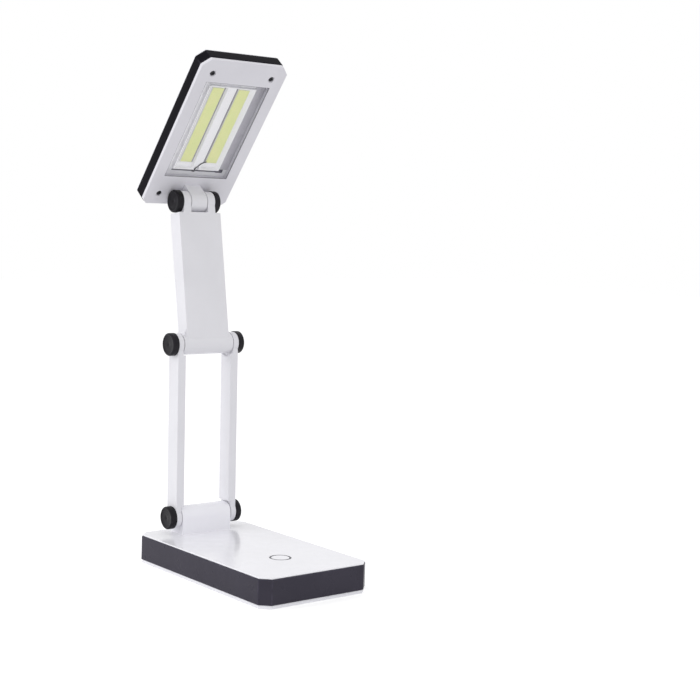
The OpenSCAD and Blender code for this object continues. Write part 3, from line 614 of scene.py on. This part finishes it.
for material, nodes in HIDDEN_FINISHES.items():
    for node in nodes:
        give_finish(node, material)
print("carried-over nodes:", sum(len(nodes) for nodes in HIDDEN_FINISHES.values()))

# %% [markdown]
# ## Geometry Nodes for what repeats
# The lamp has six equal knobs and three sets of small screws. Each is one shape at several
# places, which is what instancing is for. A tree is built here with named inputs, the places come
# in as the vertices of a small mesh, and the result is turned into a plain mesh at the end, one
# for each body that moves.

# %% Tree helpers
def new_tree(name, inputs):
    """A Geometry Nodes tree with a geometry input and the given sizes, with its two ends."""
    tree = bpy.data.node_groups.new(name, "GeometryNodeTree")
    for label, end in (("Places", "INPUT"), ("Geometry", "OUTPUT")):
        tree.interface.new_socket(label, in_out=end, socket_type="NodeSocketGeometry")
    for label, kind, value in inputs:
        socket = tree.interface.new_socket(label, in_out="INPUT", socket_type="NodeSocket" + kind)
        if value is not None:
            socket.default_value = value
    return tree, tree.nodes.new("NodeGroupInput").outputs, tree.nodes.new("NodeGroupOutput").inputs


def deliver(tree, instances, material, out):
    """Every tree ends the same way: real geometry, then its material."""
    real = feed(tree, "GeometryNodeRealizeInstances", {"Geometry": instances}).outputs[0]
    done = feed(tree, "GeometryNodeSetMaterial", {"Geometry": real, "Material": material})
    tree.links.new(done.outputs[0], out["Geometry"])


def points_mesh(name, places):
    mesh = bpy.data.meshes.new(name)
    mesh.from_pydata([tuple(p) for p in places], [], [])
    return mesh


def grown(name, tree, places, values, body, nodes):
    """Runs a tree on places and keeps its result as a plain mesh that stands for some CAD nodes."""
    piece = bpy.data.objects.new(name, points_mesh(name + "_places", places))
    bpy.context.scene.collection.objects.link(piece)
    modifier = piece.modifiers.new("tree", "NODES")
    modifier.node_group = tree
    for item in tree.interface.items_tree:
        if item.in_out == "INPUT" and item.name in values:
            modifier[item.identifier] = values[item.name]
    graph = bpy.context.evaluated_depsgraph_get()
    mesh = bpy.data.meshes.new_from_object(piece.evaluated_get(graph),
                                           preserve_all_data_layers=True, depsgraph=graph)
    piece.modifiers.clear()
    piece.data = mesh
    mesh.name = name
    mesh.set_sharp_from_angle(angle=SHARP)
    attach(piece, body)
    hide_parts(*nodes)
    return piece


# %% [markdown]
# ## The hinge knobs
# Each knob is a turned shape: a side with a soft shoulder, a shallow step around the face, a
# dished face and a small dimple at the gate. The outline is given once as distances from the axis
# and heights, and spun round. The knobs then go to their places, facing left or right.

# %% One knob, turned from its outline
KNOB_R, KNOB_H, KNOB_INNER_R, KNOB_SKIN = 6.8, 3.9, 5.5, 1.0
KNOB_STEPS = 72


def arc_points(centre, radius, start, end, count):
    """Points on an arc of an outline, with angles in degrees."""
    angles = [math.radians(start + (end - start) * k / count) for k in range(count + 1)]
    return [(centre[0] + radius * math.cos(a), centre[1] + radius * math.sin(a)) for a in angles]


def knob_outline():
    """Radius and height pairs, from the axis inside, round the rim, to the axis outside."""
    shoulder, step, inner_cut, outer_cut, rim_flat = 0.9, 0.25, 0.12, 0.15, 0.35
    lip, hollow = KNOB_R - shoulder, KNOB_H - KNOB_SKIN
    outline = [(0, hollow), (KNOB_INNER_R, hollow), (KNOB_INNER_R, inner_cut)]
    outline += [(KNOB_INNER_R + inner_cut, 0), (KNOB_R - outer_cut, 0), (KNOB_R, outer_cut)]
    outline += arc_points((lip, KNOB_H - shoulder), shoulder, 0, 90, 6)
    outline += [(lip - rim_flat, KNOB_H), (lip - rim_flat - step, KNOB_H - step)]
    dish = ((lip - 0.9, 0.32), (lip * 0.45, 0.42), (1.0, 0.45), (0.7, 0.6), (0, 0.62))
    return outline + [(radius, KNOB_H - depth) for radius, depth in dish]


def turned_mesh(name, outline, steps):
    """Spins an outline about Z. The ends on the axis close it."""
    work = bmesh.new()
    turns = [2 * math.pi * k / steps for k in range(steps)]
    rings = []
    for radius, height in outline:
        z = height * MM
        if radius == 0:
            rings.append([work.verts.new((0, 0, z))] * steps)
            continue
        rings.append([work.verts.new((radius * MM * math.cos(a), radius * MM * math.sin(a), z))
                      for a in turns])
    for low, high in zip(rings, rings[1:]):
        for k in range(steps):
            corners = [low[k], low[(k + 1) % steps], high[(k + 1) % steps], high[k]]
            work.faces.new(list(dict.fromkeys(corners)))
    bmesh.ops.recalc_face_normals(work, faces=work.faces)
    mesh = bpy.data.meshes.new(name)
    work.to_mesh(mesh)
    work.free()
    mesh.shade_smooth()
    return mesh


knob_mesh = turned_mesh("knob_pattern", knob_outline(), KNOB_STEPS)
knob_pattern = bpy.data.objects.new("knob_pattern", knob_mesh)
print("knob faces:", len(knob_pattern.data.polygons))

# %% The knob tree and the six knobs
def knob_tree():
    inputs = [("Knob", "Object", None), ("Material", "Material", None)]
    tree, given, out = new_tree("hinge knobs", inputs)
    knob = feed(tree, "GeometryNodeObjectInfo", {"Object": given["Knob"]}).outputs["Geometry"]
    place = tree.nodes.new("GeometryNodeInputPosition").outputs[0]
    side = feed(tree, "ShaderNodeSeparateXYZ", {"Vector": place}).outputs["X"]
    sign = feed(tree, "ShaderNodeMath", {0: side}, operation="SIGN").outputs[0]
    turn = feed(tree, "ShaderNodeCombineXYZ", {"Y": product(tree, sign, math.pi / 2)}).outputs[0]
    copies = feed(tree, "GeometryNodeInstanceOnPoints",
                  {"Points": given["Places"], "Instance": knob, "Rotation": turn}).outputs[0]
    deliver(tree, copies, given["Material"], out)
    return tree


def knob_places(node, *axes):
    """A knob on both sides at each axis, against the ear's outer face."""
    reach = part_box(node)[1].x - KNOB_H * MM
    return [Vector((side * reach, axis.y, axis.z)) for axis in axes for side in (-1, 1)]


knobs = knob_tree()
knob_values = {"Knob": knob_pattern, "Material": knob_black}
lower_places = knob_places("lower_arm_caps", base_axis, mid_axis)
head_places = knob_places("head_hinge_caps", head_axis)
lower_knobs = grown("lower_arm_knobs", knobs, lower_places, knob_values,
                    "lower_arm", ["lower_arm_caps"])
head_knobs = grown("head_hinge_knobs", knobs, head_places, knob_values,
                   "head_hinge_shaft", ["head_hinge_caps"])
print("knobs:", len(lower_knobs.data.polygons) + len(head_knobs.data.polygons), "faces")

# %% [markdown]
# ## Small screws
# A self-tapping screw here is a pan head with a cross cut into it, on a thin shank. The tree makes
# the head as a short cone on a cylinder, joins the shank to it, cuts the cross with two thin boxes,
# and puts the screw at each place, turned to look out of the surface.

# %% The screw tree and three sets of screws
SCREW_SIZES = {"Head Radius": 2 * MM, "Head Height": 1.3 * MM, "Cross Width": 0.5 * MM,
               "Cross Depth": 0.6 * MM, "Shank Radius": 1 * MM, "Shank Length": 8 * MM}
SCREW_INPUTS = [(label, "Float", size) for label, size in SCREW_SIZES.items()]
SCREW_INPUTS += [("Turn", "Vector", (0, 0, 0)), ("Material", "Material", None)]
CROWN_SHARE, CROWN_TOP, SHANK_TIP, SHANK_DROP, CROSS_REACH = 0.35, 0.78, 0.6, -0.98, 1.2
HEAD_SIDES, SHANK_SIDES = 40, 20


def screw_tree():
    """The head's underside is at the place. Before the turn the head looks along +Z."""
    tree, given, out = new_tree("small screws", SCREW_INPUTS)

    def times(value, factor):
        return product(tree, value, factor)

    def lifted(geometry, height):
        offset = feed(tree, "ShaderNodeCombineXYZ", {"Z": height}).outputs[0]
        moved = feed(tree, "GeometryNodeTransform", {"Geometry": geometry, "Translation": offset})
        return moved.outputs[0]

    def cone(sides, bottom, top, depth):
        return feed(tree, "GeometryNodeMeshCone",
                    {"Vertices": sides, "Radius Top": top, "Radius Bottom": bottom,
                     "Depth": depth}).outputs["Mesh"]

    edge = times(given["Head Height"], CROWN_SHARE)
    side = times(given["Head Height"], 1 - CROWN_SHARE)
    head_r, shank_r, shank_l = (given[k] for k in ("Head Radius", "Shank Radius", "Shank Length"))
    head = feed(tree, "GeometryNodeMeshBoolean", {}, operation="UNION", solver="EXACT")
    tree.links.new(cone(HEAD_SIDES, head_r, head_r, side), head.inputs["Mesh 2"])
    crown = cone(HEAD_SIDES, head_r, times(head_r, CROWN_TOP), edge)
    tree.links.new(lifted(crown, side), head.inputs["Mesh 2"])
    shank = cone(SHANK_SIDES, times(shank_r, SHANK_TIP), shank_r, shank_l)
    tree.links.new(lifted(shank, times(shank_l, SHANK_DROP)), head.inputs["Mesh 2"])
    cut = feed(tree, "GeometryNodeMeshBoolean", {"Mesh 1": head.outputs["Mesh"]},
               operation="DIFFERENCE", solver="EXACT")
    long_side = times(head_r, CROSS_REACH)
    for width, length in ((given["Cross Width"], long_side), (long_side, given["Cross Width"])):
        size = feed(tree, "ShaderNodeCombineXYZ",
                    {"X": width, "Y": length, "Z": times(given["Cross Depth"], 2)}).outputs[0]
        slot = feed(tree, "GeometryNodeMeshCube", {"Size": size}).outputs["Mesh"]
        tree.links.new(lifted(slot, given["Head Height"]), cut.inputs["Mesh 2"])
    copies = feed(tree, "GeometryNodeInstanceOnPoints",
                  {"Points": given["Places"], "Instance": cut.outputs["Mesh"],
                   "Rotation": given["Turn"]})
    deliver(tree, copies.outputs[0], given["Material"], out)
    return tree


def screw_set(name, node, places, outward, sizes, material, body):
    """One set of screws whose heads look along outward, with sizes in millimetres."""
    values = {label: size * MM for label, size in zip(SCREW_SIZES, sizes)}
    values["Turn"] = tuple(outward.to_track_quat("Z", "Y").to_euler())
    values["Material"] = material
    return grown(name, screws, places, values, body, [node])


def spread_places(columns, rows, seat, matrix):
    """Places at every crossing of some columns and rows, in an arm's frame."""
    return [matrix @ Vector((x, seat, z)) for x in columns for z in rows]


screws = screw_tree()
HEAD_SCREW_X, HEAD_SCREW_Z, HEAD_SCREW_SEAT = 20.3 * MM, (-1 * MM, 85.8 * MM), 8.9 * MM
HEAD_SCREW_SIZES = (1.5, 0.6, 0.5, 0.4, 0.98, 6.4)
head_screw_places = spread_places((-HEAD_SCREW_X, HEAD_SCREW_X), HEAD_SCREW_Z, HEAD_SCREW_SEAT,
                                  in_head)
head_screws = screw_set("head_screw_set", "head_screws", head_screw_places, out_of_window,
                        HEAD_SCREW_SIZES, screw_painted_shade, "head")
BASE_SCREW_R, BASE_SCREW_SEAT = 2 * MM, 1.3 * MM
BASE_SCREW_SIZES = (1.99, 1.28, 0.5, 0.6, 0.98, 7.9)
low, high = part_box("base_screws")
base_screw_places = [Vector((x, y, low.z + BASE_SCREW_SEAT))
                     for x in (low.x + BASE_SCREW_R, high.x - BASE_SCREW_R)
                     for y in (low.y + BASE_SCREW_R, high.y - BASE_SCREW_R)]
base_screws = screw_set("base_screw_set", "base_screws", base_screw_places, DOWNWARD,
                        BASE_SCREW_SIZES, screw_steel, "base")
COVER_SCREW_Z, COVER_SCREW_SEAT = (16.4 * MM, 68.9 * MM), 3.9 * MM
COVER_SCREW_SIZES = (1.98, 0.58, 0.5, 0.3, 0.98, 4.9)
cover_screw_places = spread_places((0,), COVER_SCREW_Z, COVER_SCREW_SEAT, in_upper)
cover_screws = screw_set("cover_screw_set", "upper_arm_screws", cover_screw_places,
                         in_upper.to_3x3() @ BACKWARD, COVER_SCREW_SIZES, screw_painted_shade, "upper_arm")
SCREW_NODES = {"head_screws": head_screws, "base_screws": base_screws,
               "upper_arm_screws": cover_screws}
for node, piece in SCREW_NODES.items():
    corners = [Vector(corner) for corner in piece.bound_box]
    low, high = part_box(node)
    spans = [(round((min(c[i] for c in corners) - low[i]) / MM, 2),
              round((max(c[i] for c in corners) - high[i]) / MM, 2)) for i in range(3)]
    print(piece.name, "differs from its node by mm:", spans)

# %% [markdown]
# ## The soldered lead in the window
# One short lead is in plain sight: it comes out of the slit at a drop of solder, and runs up to
# the end of the right strip. A drop of solder is a turned shape with a hollow foot, where the
# metal wetted the pad. The lead is a tube along a smooth path that starts inside the drop, lies
# on the reflector and ends under the strip.

# %% Solder drop and lead
SOLDER_PLACE = Vector((-0.3, 12.9, 14.0)) * MM
LEAD_POINTS = ((-0.3, 12.3, 14.0), (-0.3, 12.2, 15.1), (-0.2, 12.1, 16.4), (0.2, 11.3, 17.8),
               (0.8, 11.1, 19.0), (1.5, 11.1, 20.2), (2.5, 11.1, 20.9), (3.6, 11.3, 21.1),
               (4.6, 11.7, 21.2), (5.6, 12.1, 21.3))
LEAD_RADIUS = 0.3 * MM
DROP_STEPS = 32
QUARTER_TURN = Matrix.Rotation(math.radians(90), 4, "X")


def add_detail(name, mesh, material):
    """A small piece that rides on the head and stands for no CAD node."""
    mesh.materials.append(material)
    piece = bpy.data.objects.new(name, mesh)
    bpy.context.scene.collection.objects.link(piece)
    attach(piece, "head")
    return piece


def solder_outline():
    """Radius and height pairs in millimetres, from the pad's middle to the top of the drop."""
    foot = [(0, -0.05), (1.25, -0.05), (1.2, 0.05), (1.05, 0.12), (0.94, 0.28)]
    return foot + [(0.88, 0.5), (0.78, 0.74), (0.58, 0.94), (0.3, 1.05), (0, 1.08)]


def tube_mesh(name, points, radius):
    """A round tube along a smooth path in the head's frame, closed at both ends."""
    path = bpy.data.curves.new(name, "CURVE")
    path.dimensions, path.use_fill_caps = "3D", True
    path.bevel_depth, path.bevel_resolution = radius, 3
    spline = path.splines.new("NURBS")
    spline.points.add(len(points) - 1)
    for knot, place in zip(spline.points, points):
        knot.co = (*(in_head @ (Vector(place) * MM)), 1)
    spline.order_u, spline.use_endpoint_u, spline.resolution_u = 4, True, 6
    holder = bpy.data.objects.new(name, path)
    mesh = bpy.data.meshes.new_from_object(holder)
    mesh.materials.clear()
    bpy.data.objects.remove(holder)
    mesh.shade_smooth()
    return mesh


drop_mesh = turned_mesh("solder_drop", solder_outline(), DROP_STEPS)
drop_mesh.transform(in_head @ Matrix.Translation(SOLDER_PLACE) @ QUARTER_TURN)
drop = add_detail("solder_drop", drop_mesh, solder_painted_shade)
lead_mesh = tube_mesh("strip_lead", LEAD_POINTS, LEAD_RADIUS)
lead = add_detail("strip_lead", lead_mesh, wire_black)
print("lead faces:", len(lead.data.polygons), "drop faces:", len(drop.data.polygons))

# %% [markdown]
# ## Floor, backdrop and light
# A white product picture needs a floor that reads as pure white and still holds a soft shadow.
# The floor is a pale surface that adds a little light of its own for the camera and for
# reflections only, so the lit part reaches white and the shadow stays. The world is white to the
# camera and to reflections, and lights the lamp more softly. One large softbox stands behind on
# the left, because the left faces are the brightest in the picture. A second hangs above in
# front, and a small low one fills the faces in front. They don't show in reflections, where they
# would burn white patches into the flat covers.

# %% Floor and world
FLOOR_GLOW = 0.42
WORLD_LIGHT = 0.72
FLOOR_SIZE = 6.0
FLOOR_CLOUDS_PER_M = 3


def camera_or_mirror(tree):
    """1 for what is seen directly, in a mirror or through glass, and 0 for light on the lamp."""
    path = tree.nodes.new("ShaderNodeLightPath").outputs
    seen = feed(tree, "ShaderNodeMath", {0: path["Is Camera Ray"], 1: path["Is Glossy Ray"]},
                operation="ADD").outputs[0]
    return feed(tree, "ShaderNodeMath", {0: seen, 1: path["Is Transmission Ray"]},
                operation="ADD", use_clamp=True).outputs[0]


def floor_material():
    material, tree, shader, coords = new_finish("pale floor")
    clouds = speckle(tree, coords, FLOOR_CLOUDS_PER_M, 2)
    pale = tint(tree, clouds, (0.86, 0.86, 0.87), (0.88, 0.88, 0.885))
    tree.links.new(pale, shader.inputs["Base Color"])
    shader.inputs["Roughness"].default_value = 0.9
    shader.inputs["Specular IOR Level"].default_value = 0.1
    glow = product(tree, camera_or_mirror(tree), FLOOR_GLOW)
    shader.inputs["Emission Color"].default_value = (1, 1, 1, 1)
    tree.links.new(glow, shader.inputs["Emission Strength"])
    return material


def add_floor():
    mesh = bpy.data.meshes.new("floor")
    half = FLOOR_SIZE / 2
    corners = [(-half, -half, 0), (half, -half, 0), (half, half, 0), (-half, half, 0)]
    mesh.from_pydata(corners, [], [(0, 1, 2, 3)])
    mesh.materials.append(floor_material())
    floor = bpy.data.objects.new("floor", mesh)
    bpy.context.scene.collection.objects.link(floor)
    floor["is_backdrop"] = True


def add_world():
    world = bpy.data.worlds.new("white studio")
    bpy.context.scene.world = world
    world.use_nodes = True
    tree = world.node_tree
    strength = remap(tree, camera_or_mirror(tree), WORLD_LIGHT, 1.0, 0, 1)
    tree.links.new(strength, tree.nodes["Background"].inputs["Strength"])
    tree.nodes["Background"].inputs["Color"].default_value = (1, 1, 1, 1)


add_floor()
add_world()
print("floor and world ready")

# %% Lamps
def add_softbox(name, place, target, size, watts):
    data = bpy.data.lights.new(name, "AREA")
    data.shape, data.size, data.size_y = "RECTANGLE", size[0], size[1]
    data.energy = watts
    lamp = bpy.data.objects.new(name, data)
    lamp.location = place
    lamp.rotation_euler = (Vector(target) - Vector(place)).to_track_quat("-Z", "Y").to_euler()
    lamp.visible_glossy = False
    bpy.context.scene.collection.objects.link(lamp)


LAMP_MIDDLE, HEAD_MIDDLE = (0, 0, 0.15), (0, 0, 0.22)
add_softbox("left_softbox", (-1.1, 0.55, 0.45), LAMP_MIDDLE, (0.9, 0.9), 5.5)
add_softbox("top_softbox", (-0.2, -0.5, 1.3), LAMP_MIDDLE, (0.8, 0.8), 2.4)
add_softbox("low_softbox", (-0.3, -0.7, 0.12), HEAD_MIDDLE, (0.5, 0.2), 0.42)

scene = bpy.context.scene
scene.view_settings.view_transform = "Standard"

# %% [markdown]
# ## Compare the size
# Nothing above may change the lamp's size.

# %% Compare the boxes and finish
visual_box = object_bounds()
growth = [round((v - c) / MM, 2)
          for visual, cad in zip(visual_box, cad_box) for v, c in zip(visual, cad)]
print("grew by mm:", growth)
